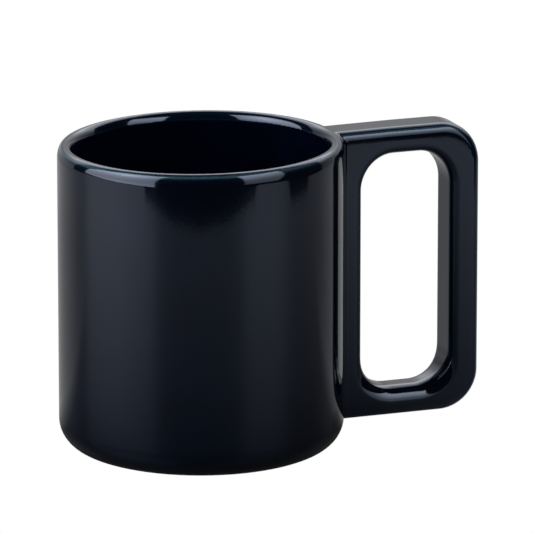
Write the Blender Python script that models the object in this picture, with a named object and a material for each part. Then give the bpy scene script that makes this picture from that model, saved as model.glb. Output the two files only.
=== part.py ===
"""A glazed ceramic mug with a flat, square frame handle.

The mug stands on z = 0 with its handle towards +X. The box around it is centred on the origin, so the
cup's own axis lies a little way along -X. Each coat of glaze is a thin shell over the clay that it covers.
"""

import math

import bmesh
import bpy
from mathutils import Matrix

MM = 0.001

# The cup, measured over its glaze
CUP_RADIUS = 42.0 * MM
CUP_HEIGHT = 91.3 * MM
WALL = 4.5 * MM
LIP_OUTER_ROUND = 2.0 * MM
LIP_INNER_ROUND = 2.4 * MM
BASE_ROUND = 8.3 * MM
FLOOR_HEIGHT = 5.5 * MM
FLOOR_CORNER = 8.0 * MM
FOOT_INNER_RADIUS = 29.5 * MM
FOOT_RECESS = 1.2 * MM
FOOT_CHAMFER = 0.8 * MM

# The handle, measured over its glaze: a flat frame with a finger opening
HANDLE_THICKNESS = 13.2 * MM
HANDLE_REACH = 85.6 * MM  # from the cup's axis to the outer face
HANDLE_BOTTOM = 4.2 * MM
HANDLE_CORNER = 12.0 * MM
HANDLE_EDGE_ROUND = 2.5 * MM
OPENING_EDGE_ROUND = 3.6 * MM
OPENING_NEAR = 48.4 * MM  # from the cup's axis
OPENING_FAR = 76.4 * MM
OPENING_BOTTOM = 12.6 * MM
OPENING_TOP = 83.6 * MM
OPENING_CORNER = 10.1 * MM

# Layers: how far the under side of the glaze and the clay lie below the finished surface
GAP = 0.3 * MM
GLAZE = 0.3 * MM
CLAY_INSET = GLAZE + GAP
SLIP = 0.6 * MM
SLIP_HALF_ANGLE = math.radians(7.5)
SLIP_BOTTOM = 8.7 * MM
SLIP_TOP = 87.6 * MM
WINDOW_DEPTH = 14 * MM

# Where the coats end
GLAZE_LINE = math.radians(68)  # on the base's round corner, below the horizontal
BARE_CLAY_LINE = math.radians(70.2)
LINER_EDGE = 3.3 * MM  # below the lip
OUTER_EDGE = LINER_EDGE - GAP

# Mesh density
TURNS = 72
CORNER_STEPS = 6
EDGE_STEPS = 3

INNER_RADIUS = CUP_RADIUS - WALL
CUP_AXIS_X = (CUP_RADIUS - HANDLE_REACH) / 2
RIGHT_ANGLE = math.pi / 2


def arc(centre, radius, start, end, steps):
    """Points along an arc from one angle to another, both ends included."""
    angles = [start + (end - start) * i / steps for i in range(steps + 1)]
    return [(centre[0] + radius * math.cos(a), centre[1] + radius * math.sin(a)) for a in angles]


def lip(inset):
    """Over the lip, from its inner side to its outer side."""
    inner = (INNER_RADIUS + LIP_INNER_ROUND, CUP_HEIGHT - LIP_INNER_ROUND)
    outer = (CUP_RADIUS - LIP_OUTER_ROUND, CUP_HEIGHT - LIP_OUTER_ROUND)
    over = arc(inner, LIP_INNER_ROUND - inset, math.pi, RIGHT_ANGLE, CORNER_STEPS)
    return over + arc(outer, LIP_OUTER_ROUND - inset, RIGHT_ANGLE, 0, CORNER_STEPS)


def base_corner(inset, start, end):
    """Round the bottom of the outer wall, between two angles below the horizontal."""
    centre = (CUP_RADIUS - BASE_ROUND, BASE_ROUND)
    return arc(centre, BASE_ROUND - inset, -start, -end, CORNER_STEPS)


def floor_corner(inset):
    """Round the bottom of the inside, from the floor up to the wall."""
    centre = (INNER_RADIUS - FLOOR_CORNER, FLOOR_HEIGHT + FLOOR_CORNER)
    return arc(centre, FLOOR_CORNER + inset, -RIGHT_ANGLE, 0, CORNER_STEPS)


def new_object(name, bm, parent):
    """A smooth-shaded object on the mug, from a bmesh whose faces are turned to face out."""
    bmesh.ops.recalc_face_normals(bm, faces=bm.faces)
    mesh = bpy.data.meshes.new(name)
    bm.to_mesh(mesh)
    bm.free()
    mesh.shade_smooth()
    mesh.set_sharp_from_angle(angle=math.radians(40))
    obj = bpy.data.objects.new(name, mesh)
    obj.parent = parent
    bpy.context.scene.collection.objects.link(obj)
    return obj


def turned(name, profile, parent, closed):
    """A profile of (radius, height) points spun round the cup's axis."""
    bm = bmesh.new()
    verts = [bm.verts.new((r, 0, z)) for r, z in profile]
    edges = [bm.edges.new(pair) for pair in zip(verts, verts[1:])]
    if closed:
        edges.append(bm.edges.new((verts[-1], verts[0])))
    bmesh.ops.spin(
        bm, geom=verts + edges, axis=(0, 0, 1), angle=2 * math.pi, steps=TURNS, use_merge=True
    )
    bmesh.ops.remove_doubles(bm, verts=bm.verts, dist=0.001 * MM)
    return new_object(name, bm, parent)


def rounded_outline(left, right, bottom, top, corner):
    """A rectangle with round corners, counter-clockwise from its right side."""
    centres = [
        (right - corner, top - corner),
        (left + corner, top - corner),
        (left + corner, bottom + corner),
        (right - corner, bottom + corner),
    ]
    points = []
    for i, centre in enumerate(centres):
        points += arc(centre, corner, i * RIGHT_ANGLE, (i + 1) * RIGHT_ANGLE, CORNER_STEPS)
    return points


def handle_outline(inset):
    """The handle's outside. Its near end is well inside the cup, where the wall cuts it off."""
    return rounded_outline(
        CUP_RADIUS / 2,
        HANDLE_REACH - inset,
        HANDLE_BOTTOM + inset,
        CUP_HEIGHT - inset,
        HANDLE_CORNER - inset,
    )


def opening_outline(inset):
    return rounded_outline(
        OPENING_NEAR - inset,
        OPENING_FAR + inset,
        OPENING_BOTTOM - inset,
        OPENING_TOP + inset,
        OPENING_CORNER + inset,
    )


def edge_section(edge_round, inset):
    """Half a bar's section, from its back face to its front face: how far in from the outline, and how
    far to the side."""
    radius = edge_round - inset
    flat_half = HANDLE_THICKNESS / 2 - edge_round
    quarter = [RIGHT_ANGLE * i / EDGE_STEPS for i in range(EDGE_STEPS + 1)]
    front = [(radius * (1 - math.cos(t)), flat_half + radius * math.sin(t)) for t in quarter]
    return [(step, -side) for step, side in reversed(front)] + front


def frame_mesh(inset):
    """The handle's frame: rings that follow its two outlines, stepped round the bars' round edges."""
    outside = edge_section(HANDLE_EDGE_ROUND, inset)
    inside = edge_section(OPENING_EDGE_ROUND, inset)[::-1]
    bm = bmesh.new()
    rings = []
    for outline, section in ((handle_outline, outside), (opening_outline, inside)):
        for step, side in section:
            rings.append([bm.verts.new((x, side, z)) for x, z in outline(inset + step)])
    for ring, following in zip(rings, rings[1:] + rings[:1]):
        for i in range(len(ring)):
            bm.faces.new((ring[i - 1], ring[i], following[i], following[i - 1]))
    return bm


def slip_mesh():
    """A thin curved pad that follows the wall."""
    near = CUP_RADIUS - GLAZE
    section = [(near, SLIP_BOTTOM), (near + SLIP, SLIP_BOTTOM), (near + SLIP, SLIP_TOP), (near, SLIP_TOP)]
    bm = bmesh.new()
    verts = [bm.verts.new((r, 0, z)) for r, z in section]
    face = bm.faces.new(verts)
    bmesh.ops.rotate(bm, verts=verts, matrix=Matrix.Rotation(-SLIP_HALF_ANGLE, 3, "Z"))
    bmesh.ops.spin(
        bm, geom=[face], axis=(0, 0, 1), angle=2 * SLIP_HALF_ANGLE, steps=CORNER_STEPS
    )
    return bm


def material(obj, base_color, roughness):
    """The object's own Principled material."""
    made = bpy.data.materials.new(obj.name)
    made.use_nodes = True
    shader = made.node_tree.nodes["Principled BSDF"]
    shader.inputs["Base Color"].default_value = (*base_color, 1)
    shader.inputs["Roughness"].default_value = roughness
    obj.data.materials.append(made)


def cut(obj, cutter):
    """Takes the cutter's shape out of the object."""
    cutter.hide_render = True
    cutter.display_type = "WIRE"
    difference = obj.modifiers.new("cut_" + cutter.name, "BOOLEAN")
    difference.operation = "DIFFERENCE"
    difference.object = cutter


def wall_cutter(name, radius, parent):
    """A cylinder on the cup's axis that gives a handle piece the wall's curve."""
    bm = bmesh.new()
    bmesh.ops.create_cone(
        bm, cap_ends=True, segments=TURNS, radius1=radius, radius2=radius, depth=2 * CUP_HEIGHT
    )
    bmesh.ops.translate(bm, verts=bm.verts, vec=(0, 0, CUP_HEIGHT / 2))
    return new_object(name, bm, parent)


def window_cutter(name, parent):
    """A block through the outer glaze, a gap larger all round than the slip that comes through it."""
    half_width = (CUP_RADIUS + SLIP) * math.sin(SLIP_HALF_ANGLE) + GAP
    height = SLIP_TOP - SLIP_BOTTOM + 2 * GAP
    bm = bmesh.new()
    bmesh.ops.create_cube(bm, size=1)
    bmesh.ops.scale(bm, verts=bm.verts, vec=(WINDOW_DEPTH, 2 * half_width, height))
    bmesh.ops.translate(bm, verts=bm.verts, vec=(CUP_RADIUS, 0, (SLIP_TOP + SLIP_BOTTOM) / 2))
    return new_object(name, bm, parent)


def make_cup(mug):
    clay = [(0, FLOOR_HEIGHT - CLAY_INSET)]
    clay += floor_corner(CLAY_INSET)
    clay += lip(CLAY_INSET)
    clay += base_corner(CLAY_INSET, 0, BARE_CLAY_LINE)
    clay += base_corner(0, BARE_CLAY_LINE, RIGHT_ANGLE)
    clay += [
        (FOOT_INNER_RADIUS, 0),
        (FOOT_INNER_RADIUS - FOOT_CHAMFER, FOOT_RECESS),
        (0, FOOT_RECESS),
    ]
    material(turned("cup_body", clay, mug, closed=False), (0.66, 0.57, 0.45), 0.8)

    outside = [(INNER_RADIUS, CUP_HEIGHT - OUTER_EDGE)] + lip(0) + base_corner(0, 0, GLAZE_LINE)
    underside = [(INNER_RADIUS + GLAZE, CUP_HEIGHT - OUTER_EDGE)]
    underside += lip(GLAZE) + base_corner(GLAZE, 0, GLAZE_LINE)
    outer = turned("outer_glaze", outside + underside[::-1], mug, closed=True)
    material(outer, (0.012, 0.018, 0.032), 0.08)
    cut(outer, window_cutter("joint_window", mug))

    liner_top = CUP_HEIGHT - LINER_EDGE
    liner = [(0, FLOOR_HEIGHT)] + floor_corner(0) + [(INNER_RADIUS, liner_top)]
    liner += [(INNER_RADIUS + GLAZE, liner_top)] + floor_corner(GLAZE)[::-1] + [(0, FLOOR_HEIGHT - GLAZE)]
    material(turned("liner_glaze", liner, mug, closed=False), (0.008, 0.01, 0.018), 0.08)


def make_handle(mug):
    clay = new_object("handle_frame", frame_mesh(CLAY_INSET), mug)
    material(clay, (0.66, 0.57, 0.45), 0.8)
    cut(clay, wall_cutter("frame_wall", CUP_RADIUS + CLAY_INSET, mug))

    coat = new_object("handle_glaze", frame_mesh(0), mug)
    material(coat, (0.012, 0.018, 0.032), 0.08)
    cut(coat, wall_cutter("glaze_wall", CUP_RADIUS + GAP, mug))
    cut(coat, new_object("glaze_core", frame_mesh(GLAZE), mug))

    slip = new_object("joint_slip", slip_mesh(), mug)
    material(slip, (0.58, 0.5, 0.4), 0.85)


def main():
    for obj in list(bpy.data.objects):
        bpy.data.objects.remove(obj, do_unlink=True)
    mug = bpy.data.objects.new("mug", None)
    mug.location.x = CUP_AXIS_X
    bpy.context.scene.collection.objects.link(mug)
    make_cup(mug)
    make_handle(mug)


main()
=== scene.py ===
"""The looks of the glazed mug, built round its CAD frame: one melted coat of glaze over a bare clay foot.

The coat is the surface where a field of signed distances is zero. Soft joins between the cup, its inside
and the handle come from the field, and a net of quads is laid over the surface and evened out.
"""

import itertools
import math

import bpy
import numpy as np
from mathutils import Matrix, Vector


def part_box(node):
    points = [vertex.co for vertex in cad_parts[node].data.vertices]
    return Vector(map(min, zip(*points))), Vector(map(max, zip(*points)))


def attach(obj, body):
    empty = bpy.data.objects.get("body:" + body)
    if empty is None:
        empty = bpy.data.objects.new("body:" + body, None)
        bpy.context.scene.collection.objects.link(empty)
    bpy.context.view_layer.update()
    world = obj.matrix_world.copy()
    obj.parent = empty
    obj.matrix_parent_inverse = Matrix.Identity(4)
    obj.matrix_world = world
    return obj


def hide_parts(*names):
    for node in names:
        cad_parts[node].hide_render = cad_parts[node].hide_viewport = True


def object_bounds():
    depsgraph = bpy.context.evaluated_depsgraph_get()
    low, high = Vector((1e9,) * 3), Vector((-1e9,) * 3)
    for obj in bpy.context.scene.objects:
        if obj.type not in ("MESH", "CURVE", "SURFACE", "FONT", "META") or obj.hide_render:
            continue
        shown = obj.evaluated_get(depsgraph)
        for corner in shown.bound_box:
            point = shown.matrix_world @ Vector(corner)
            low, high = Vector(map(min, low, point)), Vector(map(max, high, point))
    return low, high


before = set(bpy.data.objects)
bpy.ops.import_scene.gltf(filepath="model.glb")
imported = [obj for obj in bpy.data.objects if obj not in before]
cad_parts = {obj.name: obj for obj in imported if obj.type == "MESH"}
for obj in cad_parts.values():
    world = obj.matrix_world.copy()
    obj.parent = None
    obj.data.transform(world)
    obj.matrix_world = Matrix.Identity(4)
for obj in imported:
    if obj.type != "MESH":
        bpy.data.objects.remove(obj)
cad_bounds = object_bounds()

MM = 0.001

# Sizes that the frame gives
cup_low, cup_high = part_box("outer_glaze")
handle_low, handle_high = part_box("handle_glaze")
CUP_AXIS_X = (cup_low.x + cup_high.x) / 2
CUP_RADIUS = (cup_high.x - cup_low.x) / 2
CUP_HEIGHT = cup_high.z
HANDLE_REACH = handle_high.x - CUP_AXIS_X
HANDLE_BOTTOM = handle_low.z
HANDLE_THICKNESS = handle_high.y - handle_low.y

# The CAD's other sizes
WALL = 4.5 * MM
BASE_ROUND = 8.3 * MM
FLOOR_HEIGHT = 5.5 * MM
FLOOR_CORNER = 8.0 * MM
HANDLE_CORNER = 12.0 * MM
OPENING_NEAR = 48.4 * MM
OPENING_FAR = 76.4 * MM
OPENING_BOTTOM = 12.6 * MM
OPENING_TOP = 83.6 * MM
OPENING_CORNER = 10.1 * MM

# The lip, as the melted glaze softens it
LIP_ROUND = 2.0 * MM  # the outer rounding's width
LIP_DROP = 3.8 * MM  # and its height
LIP_INNER_ROUND = 2.4 * MM
LIP_UNDERCUT = 0.32 * MM  # the inner rounding stops this far short of upright, at a faint crease
RIM_SLOPE = 0.0125  # the rim rises this much per metre towards the handle
SLOPE_TURN = math.radians(20)  # the direction of the rise, turned from +X towards the front
SLOPE_FADE = 18 * MM  # the rise fades out over this depth below the lip
SLOPE_REACH = 55 * MM  # and the handle is level beyond this distance from the cup's axis

# The handle
HANDLE_EDGE_ROUND = 2.5 * MM
OPENING_EDGE_ROUND = 2.4 * MM
OPENING_LOW_ROUND = 4.5 * MM  # the rounding is larger at the bottom of the opening
PILLOW = 0.16 * MM  # how far the handle's flat faces swell
PILLOW_REACH = 4.6 * MM  # and how far in from an edge the swell goes on
JOINT_FILLET = 2.2 * MM
JOINT_FADE = 3.0 * MM  # the fillet fades to a sharp join over this depth below the lip
SHARP_JOIN = 1e-6

# The foot: where the glaze ends, the roundness of its edge, and the hollow that shows the clay
GLAZE_LINE = 0.55 * MM
GLAZE_BEAD = 0.3 * MM
UNDERSIDE_RADIUS = 34.6 * MM
UNDERSIDE_TOP = 2.4 * MM

# The glaze goes from full to thin as the surface's bend goes from the first to the second, per metre
THIN_BENDS = (180, 420)
# A paler line along the lip's outer rounding is a painted reflection: the normal's rise where it starts
# and ends
REFLECTION_RISE_START = (0.42, 0.54)
REFLECTION_RISE_END = (0.62, 0.74)

# The net: how fine it is, sparser along the posts and finer up at the lip
NET_STEP = 0.84 * MM
LIP_STEP = 0.45 * MM
POST_STEP = 1.3 * MM
LIP_ZONE = 6 * MM
POST_ZONE = (20 * MM, 76 * MM)
MARGIN = 2 * MM
EVENING_ROUNDS = 4
SURFACE_ROUNDS = 3
GRADIENT_STEP = 0.02 * MM
BEND_STEP = 0.3 * MM
LEAST_STEEPNESS = 0.05


# Signed distances: below zero inside a shape, above zero outside it


def corner(x, y, radius):
    """The quarter plane below x = 0 and y = 0, with its corner rounded."""
    outside = np.hypot(np.maximum(x + radius, 0), np.maximum(y + radius, 0))
    return outside + np.minimum(np.maximum(x, y) + radius, 0) - radius


def round_rect(x, y, low_x, high_x, low_y, high_y, radius):
    """A rectangle with rounded corners."""
    across = np.abs(x - (low_x + high_x) / 2) - (high_x - low_x) / 2
    up = np.abs(y - (low_y + high_y) / 2) - (high_y - low_y) / 2
    return corner(across, up, radius)


def joined(a, b, radius):
    """Both shapes, with a fillet where they meet."""
    reach = np.hypot(np.maximum(radius - a, 0), np.maximum(radius - b, 0))
    return np.maximum(np.minimum(a, b), radius) - reach


def shared(a, b, radius):
    """What both shapes hold, with its edge rounded."""
    reach = np.hypot(np.maximum(radius + a, 0), np.maximum(radius + b, 0))
    return np.minimum(np.maximum(a, b), -radius) + reach


def smooth_step(value, start, end):
    """From 0 at start to 1 at end, with no kink at either."""
    share = np.clip((value - start) / (end - start), 0, 1)
    return share * share * (3 - 2 * share)


def cup_solid(around, z):
    """The cup before it is hollowed."""
    lip = corner(around - CUP_RADIUS, (z - CUP_HEIGHT) * LIP_ROUND / LIP_DROP, LIP_ROUND)
    base = corner(around - CUP_RADIUS, -z, BASE_ROUND)
    return np.where(z > CUP_HEIGHT / 2, lip, base)


def handle_solid(out, y, z):
    """The flat frame. It runs on into the cup, where glaze_field cuts it off."""
    outline = round_rect(out, z, CUP_RADIUS / 2, HANDLE_REACH, HANDLE_BOTTOM, CUP_HEIGHT, HANDLE_CORNER)
    opening = round_rect(out, z, OPENING_NEAR, OPENING_FAR, OPENING_BOTTOM, OPENING_TOP, OPENING_CORNER)
    inward = np.clip(np.minimum(-outline, opening) / PILLOW_REACH, 0, 1)
    side = np.abs(y) - HANDLE_THICKNESS / 2 + PILLOW * (1 - inward) ** 2
    low = 1 - smooth_step(z, OPENING_BOTTOM, OPENING_BOTTOM + OPENING_CORNER)
    softness = OPENING_EDGE_ROUND + (OPENING_LOW_ROUND - OPENING_EDGE_ROUND) * low
    outer = shared(outline, side, HANDLE_EDGE_ROUND)
    return np.maximum(outer, shared(-opening, side, softness))


def glaze_field(x, y, z):
    """The whole glazed mug, from the glaze line up."""
    out = x - CUP_AXIS_X
    around = np.hypot(out, y)
    sideways = np.minimum(out * math.cos(SLOPE_TURN) - y * math.sin(SLOPE_TURN), SLOPE_REACH)
    z = z - RIM_SLOPE * sideways * smooth_step(z, CUP_HEIGHT - SLOPE_FADE, CUP_HEIGHT)
    inner = around - (CUP_RADIUS - WALL)
    mouth = corner(inner + LIP_UNDERCUT, FLOOR_HEIGHT - z, FLOOR_CORNER)
    inside = corner(inner, FLOOR_HEIGHT - z, FLOOR_CORNER)
    cup = np.maximum(shared(cup_solid(around, z), -mouth, LIP_INNER_ROUND), -inside)
    # The handle starts inside the cup's wall, under the flat of the lip
    handle = np.maximum(handle_solid(out, y, z), CUP_RADIUS - LIP_ROUND - around)
    fade = 1 - smooth_step(z, CUP_HEIGHT - JOINT_FADE, CUP_HEIGHT)
    solid = joined(cup, handle, JOINT_FILLET * fade + SHARP_JOIN)
    underside = np.maximum(around - UNDERSIDE_RADIUS, z - UNDERSIDE_TOP)
    return shared(np.maximum(solid, -underside), GLAZE_LINE - z, GLAZE_BEAD)


def gradient(field, points):
    """The field's gradient at each point."""
    found = np.empty_like(points)
    for axis in range(3):
        offset = np.zeros(3)
        offset[axis] = GRADIENT_STEP
        ahead = field(*(points + offset).T)
        behind = field(*(points - offset).T)
        found[:, axis] = (ahead - behind) / (2 * GRADIENT_STEP)
    return found


def onto_surface(field, points, rounds=SURFACE_ROUNDS):
    """Moves each point along the gradient to where the field is zero."""
    for _ in range(rounds):
        uphill = gradient(field, points)
        steepness = np.maximum((uphill**2).sum(axis=1), LEAST_STEEPNESS)
        points = points - uphill * (field(*points.T) / steepness)[:, None]
    return points


def surface_net(field, axes):
    """Points and quads where the field is zero: a point in each grid cell that the surface passes
    through, and a quad round each grid edge that it crosses.
    """
    counts = [len(axis) for axis in axes]
    within = field(*np.meshgrid(*axes, indexing="ij", sparse=True)) < 0
    some = np.zeros([n - 1 for n in counts], bool)
    every = ~some
    for offsets in itertools.product((0, 1), repeat=3):
        part = within[tuple(slice(o, n - 1 + o) for o, n in zip(offsets, counts))]
        some |= part
        every &= part
    crossed = some & ~every
    number = np.full(crossed.shape, -1)
    number[crossed] = np.arange(crossed.sum())
    middles = [(axis[1:] + axis[:-1]) / 2 for axis in axes]
    points = np.stack([middle[i] for middle, i in zip(middles, np.nonzero(crossed))], axis=1)
    quads = []
    for axis in range(3):
        order = (axis, (axis + 1) % 3, (axis + 2) % 3)
        turned = within.transpose(order)
        cells = number.transpose(order)
        leaving = turned[:-1] & ~turned[1:]
        entering = ~turned[:-1] & turned[1:]
        for edges, facing in ((leaving, 1), (entering, -1)):
            i, j, k = np.nonzero(edges)
            ring = [cells[i, j - 1, k - 1], cells[i, j, k - 1], cells[i, j, k], cells[i, j - 1, k]]
            quads.append(np.stack(ring[::facing], axis=1))
    return points, np.concatenate(quads)


def relaxed(field, points, quads, rounds):
    """Evens the points out: each goes to the middle of its neighbours, then back onto the surface."""
    ends = np.concatenate([quads[:, [i, (i + 1) % 4]] for i in range(4)])
    shares = np.bincount(ends[:, 0], minlength=len(points))[:, None]
    for _ in range(rounds):
        neighbours = [points[ends[:, 1], i] for i in range(3)]
        sums = [np.bincount(ends[:, 0], weights=values, minlength=len(points)) for values in neighbours]
        points = onto_surface(field, np.stack(sums, axis=1) / shares, 1)
    return points


def mesh_object(name, points, quads, normals):
    mesh = bpy.data.meshes.new(name)
    mesh.from_pydata(points.tolist(), [], quads.tolist())
    mesh.shade_smooth()
    mesh.normals_split_custom_set_from_vertices(normals.tolist())
    obj = bpy.data.objects.new(name, mesh)
    bpy.context.scene.collection.objects.link(obj)
    return obj


def sharpness(field, points):
    """How tightly the surface bends outwards at each point, as the sum of its two curvatures."""
    total = -6 * field(*points.T)
    for axis in range(3):
        offset = np.zeros(3)
        offset[axis] = BEND_STEP
        total += field(*(points + offset).T) + field(*(points - offset).T)
    return total / BEND_STEP**2


def height_steps(low, high):
    """Heights for the net: sparse along the straight walls, close together at the lip."""
    stops = (low, POST_ZONE[0], POST_ZONE[1], CUP_HEIGHT - LIP_ZONE, high)
    steps = (NET_STEP, POST_STEP, NET_STEP, LIP_STEP)
    heights = [np.arange(a, b, step) for a, b, step in zip(stops, stops[1:], steps)]
    return np.concatenate(heights + [[high]])


def painted_reflection_share(points, normals):
    """How far each point is in the painted reflection along the lip's outer rounding, from 0 to 1."""
    outward = normals[:, 0] * (points[:, 0] - CUP_AXIS_X) + normals[:, 1] * points[:, 1] > 0
    at_lip = outward & (points[:, 2] > CUP_HEIGHT - LIP_DROP)
    rise = normals[:, 2]
    return at_lip * smooth_step(rise, *REFLECTION_RISE_START) * (1 - smooth_step(rise, *REFLECTION_RISE_END))


def make_glaze():
    """The coat, with attributes that say where it runs thin and where a reflection is painted along the
    lip's outer rounding.
    """
    low = np.array(cad_bounds[0]) - MARGIN
    high = np.array(cad_bounds[1]) + MARGIN
    axes = [np.arange(low[i], high[i], NET_STEP) for i in range(2)]
    points, quads = surface_net(glaze_field, axes + [height_steps(low[2], high[2])])
    points = onto_surface(glaze_field, points)
    points = relaxed(glaze_field, points, quads, EVENING_ROUNDS)
    points = onto_surface(glaze_field, points)
    uphill = gradient(glaze_field, points)
    normals = uphill / np.linalg.norm(uphill, axis=1, keepdims=True)
    obj = mesh_object("glaze_coat", points, quads, normals)
    thin = smooth_step(sharpness(glaze_field, points), *THIN_BENDS)
    for attribute, values in (("thin", thin), ("painted_reflection", painted_reflection_share(points, normals))):
        obj.data.attributes.new(attribute, "FLOAT", "POINT").data.foreach_set("value", values)
    return obj


glaze = make_glaze()
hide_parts("outer_glaze", "liner_glaze", "handle_glaze")
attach(glaze, "root")


# Shader nodes


def node(tree, kind, inputs=(), **settings):
    """A shader node whose inputs are set to values or joined to other nodes' outputs."""
    made = tree.nodes.new("ShaderNode" + kind)
    for setting, value in settings.items():
        setattr(made, setting, value)
    for name, value in dict(inputs).items():
        if isinstance(value, bpy.types.NodeSocket):
            tree.links.new(value, made.inputs[name])
        else:
            made.inputs[name].default_value = value
    return made


def noise(tree, place, size, detail=2, roughness=0.5):
    """Noise from 0 to 1, mostly near a half, whose blotches are about the given size across."""
    inputs = {"Vector": place, "Scale": 1 / size, "Detail": detail, "Roughness": roughness}
    return node(tree, "TexNoise", inputs).outputs["Fac"]


def between(tree, value, low, high, to_low=0.0, to_high=1.0):
    inputs = {"Value": value, "From Min": low, "From Max": high, "To Min": to_low, "To Max": to_high}
    return node(tree, "MapRange", inputs).outputs["Result"]


def maths(tree, operation, first, second=0.0):
    return node(tree, "Math", {0: first, 1: second}, operation=operation).outputs[0]


def mixed(tree, share, first, second):
    """A colour between two colours."""
    made = node(tree, "Mix", data_type="RGBA")
    sockets = {s.identifier: s for s in made.inputs}
    for name, value in (("Factor_Float", share), ("A_Color", first), ("B_Color", second)):
        if isinstance(value, bpy.types.NodeSocket):
            tree.links.new(value, sockets[name])
        else:
            sockets[name].default_value = (*value, 1)
    return next(s for s in made.outputs if s.identifier == "Result_Color")


def surface(name):
    """A new material, its node tree, its shader, and the place on the object."""
    material = bpy.data.materials.new(name)
    material.use_nodes = True
    tree = material.node_tree
    shader = tree.nodes["Principled BSDF"]
    return material, tree, shader, node(tree, "TexCoord").outputs["Object"]


def set_material(obj, material):
    obj.data.materials.clear()
    obj.data.materials.append(material)


# Glaze: nearly black navy glass, with a fine orange peel

NAVY = (0.0006, 0.0022, 0.0075)
NAVY_DEEP = (0.0003, 0.0012, 0.0045)
THIN_TEAL = (0.0003, 0.0062, 0.015)
# The paler blue of the painted reflection along the lip's outer rounding
PAINTED_REFLECTION_BLUE = (0.034, 0.066, 0.09)
GLAZE_TINT = (0.66, 0.76, 1.0, 1)
GLAZE_IOR = 1.65
GLAZE_ROUGHNESS = (0.05, 0.09)
CLOUD = 16 * MM
CLOUD_SPAN = (0.35, 0.65)  # the noise levels that a change spreads over, here and below
MOTTLE = 0.5 * MM
MOTTLE_SPAN = (0.3, 0.7)
PEEL = 1.3 * MM
PEEL_DEPTH = 0.0025 * MM


def glaze_material():
    material, tree, shader, place = surface("navy_glaze")
    cloud = noise(tree, place, CLOUD)
    colour = mixed(tree, between(tree, cloud, *CLOUD_SPAN), NAVY, NAVY_DEEP)
    thin = node(tree, "Attribute", attribute_name="thin").outputs["Fac"]
    painted_reflection = node(tree, "Attribute", attribute_name="painted_reflection").outputs["Fac"]
    # Thin glaze turns teal, and the painted reflection along the lip's outer rounding is a paler blue
    colour = mixed(tree, painted_reflection, mixed(tree, thin, colour, THIN_TEAL), PAINTED_REFLECTION_BLUE)
    tree.links.new(colour, shader.inputs["Base Color"])
    mottle = noise(tree, place, MOTTLE)
    tree.links.new(between(tree, mottle, *MOTTLE_SPAN, *GLAZE_ROUGHNESS), shader.inputs["Roughness"])
    peel = noise(tree, place, PEEL, detail=1)
    bump = node(tree, "Bump", {"Strength": 1.0, "Distance": PEEL_DEPTH, "Height": peel})
    tree.links.new(bump.outputs["Normal"], shader.inputs["Normal"])
    shader.inputs["IOR"].default_value = GLAZE_IOR
    shader.inputs["Specular Tint"].default_value = GLAZE_TINT
    return material


set_material(glaze, glaze_material())


# Clay: pale, fine-grained stoneware, bare at the foot and under the glaze

CREAM = (0.66, 0.57, 0.45)
CREAM_DARK = (0.52, 0.43, 0.32)
IRON_SPECK = (0.16, 0.1, 0.06)
SLIP_PALE = (0.58, 0.5, 0.4)
SLIP_DARK = (0.45, 0.37, 0.28)
CLAY_ROUGHNESS = (0.72, 0.9)
PATCH = 9 * MM
PATCH_SPAN = (0.3, 0.7)
GRAIN = 0.35 * MM
GRAIN_SPAN = (0.2, 0.8)
GRAIN_DEPTH = 0.04 * MM
SPECK = 0.9 * MM
SPECK_SPAN = (0.74, 0.8)


def clay_material(name, pale, dark, grain):
    material, tree, shader, place = surface(name)
    patches = noise(tree, place, PATCH, detail=3)
    colour = mixed(tree, between(tree, patches, *PATCH_SPAN), pale, dark)
    speck = noise(tree, place, SPECK, detail=1)
    colour = mixed(tree, between(tree, speck, *SPECK_SPAN), colour, IRON_SPECK)
    tree.links.new(colour, shader.inputs["Base Color"])
    texture = noise(tree, place, grain, detail=4, roughness=0.6)
    tree.links.new(between(tree, texture, *GRAIN_SPAN, *CLAY_ROUGHNESS), shader.inputs["Roughness"])
    bump = node(tree, "Bump", {"Strength": 1.0, "Distance": GRAIN_DEPTH, "Height": texture})
    tree.links.new(bump.outputs["Normal"], shader.inputs["Normal"])
    return material


clay = clay_material("bare_clay", CREAM, CREAM_DARK, GRAIN)
for name in ("cup_body", "handle_frame"):
    set_material(bpy.data.objects[name], clay)
slip = clay_material("clay_slip", SLIP_PALE, SLIP_DARK, 2 * GRAIN)
set_material(bpy.data.objects["joint_slip"], slip)


# Camera

CAMERA_TARGET = Vector((-3.8 * MM, -6.63 * MM, 53.65 * MM))
CAMERA_TURN = math.radians(20.22)
CAMERA_PITCH = math.radians(14.6)
CAMERA_DISTANCE = 1.9533
LENS = 449.86  # in millimetres, as the sensor's width is
SENSOR_WIDTH = 36
CLIP = (0.1, 50)

camera_data = bpy.data.cameras.new("camera")
camera_data.lens = LENS
camera_data.sensor_width = SENSOR_WIDTH
camera_data.clip_start, camera_data.clip_end = CLIP
camera = bpy.data.objects.new("camera", camera_data)
camera.rotation_euler = (math.pi / 2 - CAMERA_PITCH, 0, -CAMERA_TURN)
back = camera.rotation_euler.to_matrix() @ Vector((0, 0, 1))
camera.location = CAMERA_TARGET + CAMERA_DISTANCE * back
bpy.context.scene.collection.objects.link(camera)
bpy.context.scene.camera = camera


# Studio: a white floor that only the camera sees, and for the reflections a satin table with light
# panels round it. Azimuths are in degrees from the camera's side of the mug, positive to its right.

FLOOR_RADIUS = 6.0
DISC_SIDES = 180
PANEL_DISTANCE = 3.0
PANEL_STEPS = 6
WHITE = (1, 1, 1, 1)
WORLD_GLOW = 0.02  # what reflections see past the panels; the camera sees white

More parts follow.
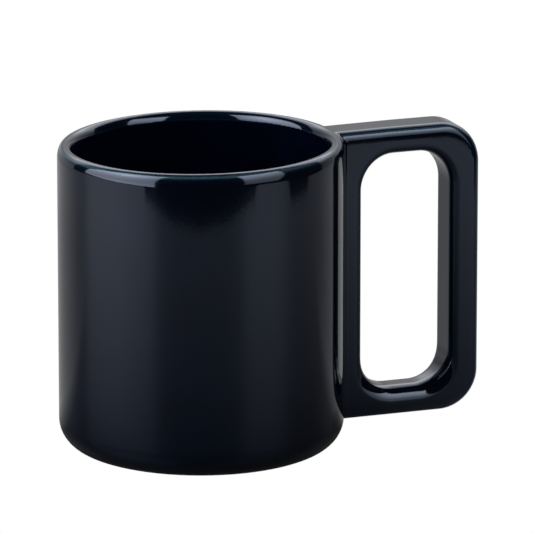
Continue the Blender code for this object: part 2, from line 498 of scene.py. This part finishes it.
# The table's outline: azimuth and distance from the cup's axis in metres. It ends close in front of
# the mug, and on the right.
TABLE_RIM = (
    (-180, 1.0),
    (-75, 1.0),
    (-60, 0.52),
    (-46, 0.48),
    (-42, 0.376),
    (-21, 0.348),
    (0, 0.338),
    (21, 0.348),
    (42, 0.376),
    (46, 0.44),
    (68, 0.44),
    (73, 0.36),
    (90, 0.366),
    (105, 0.5),
    (130, 1.0),
    (180, 1.0),
)
TABLE_GLOW = 0.2
TABLE_GLOSS = 0.215
TABLE_ROUGHNESS = 0.45
# The mug shades the table: its glow and its gloss go from the first share to the second between these
# distances
TABLE_SHADE = (42 * MM, 338 * MM)
GLOW_SHARES = (0.15, 0.95)
GLOSS_SHADE = (60 * MM, 338 * MM)
GLOSS_SHARES = (0.02, 0.95)
# Behind the mug it is lit again, up to this share, between these distances past the cup's axis
BACK_LIGHT = (0, 40 * MM)
BACK_SHARE = 0.85

# Each panel is a grid of points, from the bottom row up: azimuth, elevation, brightness
LEFT_SOFTBOX = (
    ((-103, 0, 2.2), (-68, -6, 4.0), (-36, -11, 2.6)),
    ((-103, 8, 2.1), (-68, 5, 2.6), (-36, 4, 2.3)),
    ((-103, 20, 3.6), (-68, 20, 3.6), (-36, 20, 2.2)),
    ((-98, 34, 3.5), (-68, 37, 7.5), (-36, 38, 3.0)),
    ((-84, 50, 3.0), (-68, 54, 4.5), (-36, 57, 3.8)),
)
RIGHT_SOFTBOX = (
    ((35, -4, 0.7), (64, -4, 0.7)),
    ((35, 12, 1.15), (70, 12, 1.0)),
    ((35, 30, 3.2), (74, 30, 2.4)),
    ((35, 42, 4.4), (78, 42, 3.4)),
    ((35, 50, 3.4), (82, 50, 3.0)),
)
BACK_WALL = (
    ((112, -12, 0.2), (150, -12, 0.45), (180, -12, 0.6), (210, -12, 0.6), (240, -12, 0.5)),
    ((112, 12, 0.2), (150, 12, 0.45), (180, 12, 0.45), (210, 12, 0.35), (240, 12, 0.3)),
    ((115, 22, 0.9), (150, 22, 1.2), (180, 22, 1.0), (210, 22, 1.0), (240, 22, 0.8)),
    ((120, 30, 2.0), (150, 30, 3.0), (180, 30, 3.0), (210, 30, 2.8), (238, 30, 1.6)),
    ((120, 48, 1.8), (150, 48, 2.4), (180, 48, 2.4), (210, 48, 2.8), (235, 48, 2.0)),
    ((130, 70, 0.3), (150, 70, 0.3), (180, 70, 0.3), (210, 70, 0.3), (230, 70, 0.3)),
)


def direction(azimuth, elevation):
    """The direction of a place in the studio, seen from the mug."""
    turn = math.radians(azimuth) - CAMERA_TURN
    rise = math.radians(elevation)
    return Vector((math.sin(turn) * math.cos(rise), -math.cos(turn) * math.cos(rise), math.sin(rise)))


def stage_object(name, mesh, material, **seen_by):
    """A part of the studio, seen only by the rays that are named."""
    obj = bpy.data.objects.new(name, mesh)
    obj.data.materials.append(material)
    for ray in ("camera", "diffuse", "glossy", "transmission", "volume_scatter", "shadow"):
        setattr(obj, "visible_" + ray, seen_by.get(ray, False))
    bpy.context.scene.collection.objects.link(obj)
    return obj


def stage_material(name):
    """A new material with no shader, its node tree, and the socket that a shader goes to."""
    material = bpy.data.materials.new(name)
    material.use_nodes = True
    tree = material.node_tree
    tree.nodes.remove(tree.nodes["Principled BSDF"])
    return material, tree, tree.nodes["Material Output"].inputs["Surface"]


def glow_material(name):
    """Light as bright as the mesh's glow attribute says."""
    material, tree, shown = stage_material(name)
    glow = node(tree, "Attribute", attribute_name="glow").outputs["Fac"]
    light = node(tree, "Emission", {"Strength": glow, "Color": WHITE})
    tree.links.new(light.outputs[0], shown)
    return material


def finer(values, axis):
    """A grid with more values in between, along one axis."""
    count = values.shape[axis]
    places = np.linspace(0, count - 1, (count - 1) * PANEL_STEPS + 1)
    return np.apply_along_axis(lambda line: np.interp(places, range(count), line), axis, values)


def light_panel(name, rows):
    """A curved panel, seen by reflections and by matt surfaces, but not by the camera."""
    grid = finer(finer(np.array(rows, float), 0), 1)
    high, wide = grid.shape[:2]
    centre = Vector((CUP_AXIS_X, 0, CUP_HEIGHT / 2))
    places = grid.reshape(-1, 3)
    points = [centre + PANEL_DISTANCE * direction(azimuth, rise) for azimuth, rise, _ in places]
    starts = [row * wide + i for row in range(high - 1) for i in range(wide - 1)]
    mesh = bpy.data.meshes.new(name)
    mesh.from_pydata(points, [], [(i, i + 1, i + wide + 1, i + wide) for i in starts])
    mesh.attributes.new("glow", "FLOAT", "POINT").data.foreach_set("value", places[:, 2])
    return stage_object(name, mesh, glow_material(name), glossy=True, diffuse=True)


def disc_mesh(name, rim):
    """A flat disc whose outline is pairs of azimuth and radius."""
    azimuths = [360 * i / DISC_SIDES - 180 for i in range(DISC_SIDES)]
    edge = [np.interp(azimuth, *zip(*rim)) * direction(azimuth, 0) for azimuth in azimuths]
    faces = [(0, 1 + (i + 1) % DISC_SIDES, 1 + i) for i in range(DISC_SIDES)]
    mesh = bpy.data.meshes.new(name)
    mesh.from_pydata([Vector()] + edge, [], faces)
    return mesh


def table_material():
    """Satin white, and darker round the front of the mug, which shades it."""
    material, tree, shown = stage_material("satin_table")
    place = node(tree, "TexCoord").outputs["Object"]
    away = node(tree, "VectorMath", {0: place}, operation="LENGTH").outputs["Value"]
    behind = node(tree, "VectorMath", {0: place, 1: direction(180, 0)}, operation="DOT_PRODUCT")
    lit_again = between(tree, behind.outputs["Value"], *BACK_LIGHT, 0, BACK_SHARE)
    open_glow = between(tree, away, *TABLE_SHADE, *GLOW_SHARES)
    open_gloss = maths(tree, "SQRT", between(tree, away, *GLOSS_SHADE, *GLOSS_SHARES))
    glow = maths(tree, "MULTIPLY", maths(tree, "MAXIMUM", open_glow, lit_again), TABLE_GLOW)
    gloss = maths(tree, "MULTIPLY", maths(tree, "MAXIMUM", open_gloss, lit_again), TABLE_GLOSS)
    lit = node(tree, "Emission", {"Strength": glow})
    shine = node(tree, "BsdfGlossy", {"Color": gloss, "Roughness": TABLE_ROUGHNESS})
    both = node(tree, "AddShader", {0: lit.outputs[0], 1: shine.outputs[0]})
    tree.links.new(both.outputs[0], shown)
    return material


def floor_material():
    material, tree, shown = stage_material("white_floor")
    light = node(tree, "Emission", {"Color": WHITE, "Strength": 1.0})
    tree.links.new(light.outputs[0], shown)
    return material


floor_rim = ((-180, FLOOR_RADIUS), (180, FLOOR_RADIUS))
stage_object("floor", disc_mesh("floor", floor_rim), floor_material(), camera=True)
table = stage_object("table", disc_mesh("table", TABLE_RIM), table_material(), glossy=True)
table.location.x = CUP_AXIS_X
light_panel("left_softbox", LEFT_SOFTBOX)
light_panel("right_softbox", RIGHT_SOFTBOX)
light_panel("back_wall", BACK_WALL)

world = bpy.data.worlds.new("studio")
world.use_nodes = True
sky = world.node_tree
seen = node(sky, "LightPath").outputs["Is Camera Ray"]
sky.links.new(between(sky, seen, 0, 1, WORLD_GLOW, 1.0), sky.nodes["Background"].inputs["Strength"])
sky.nodes["Background"].inputs["Color"].default_value = WHITE
bpy.context.scene.world = world
bpy.context.scene.view_settings.view_transform = "Standard"
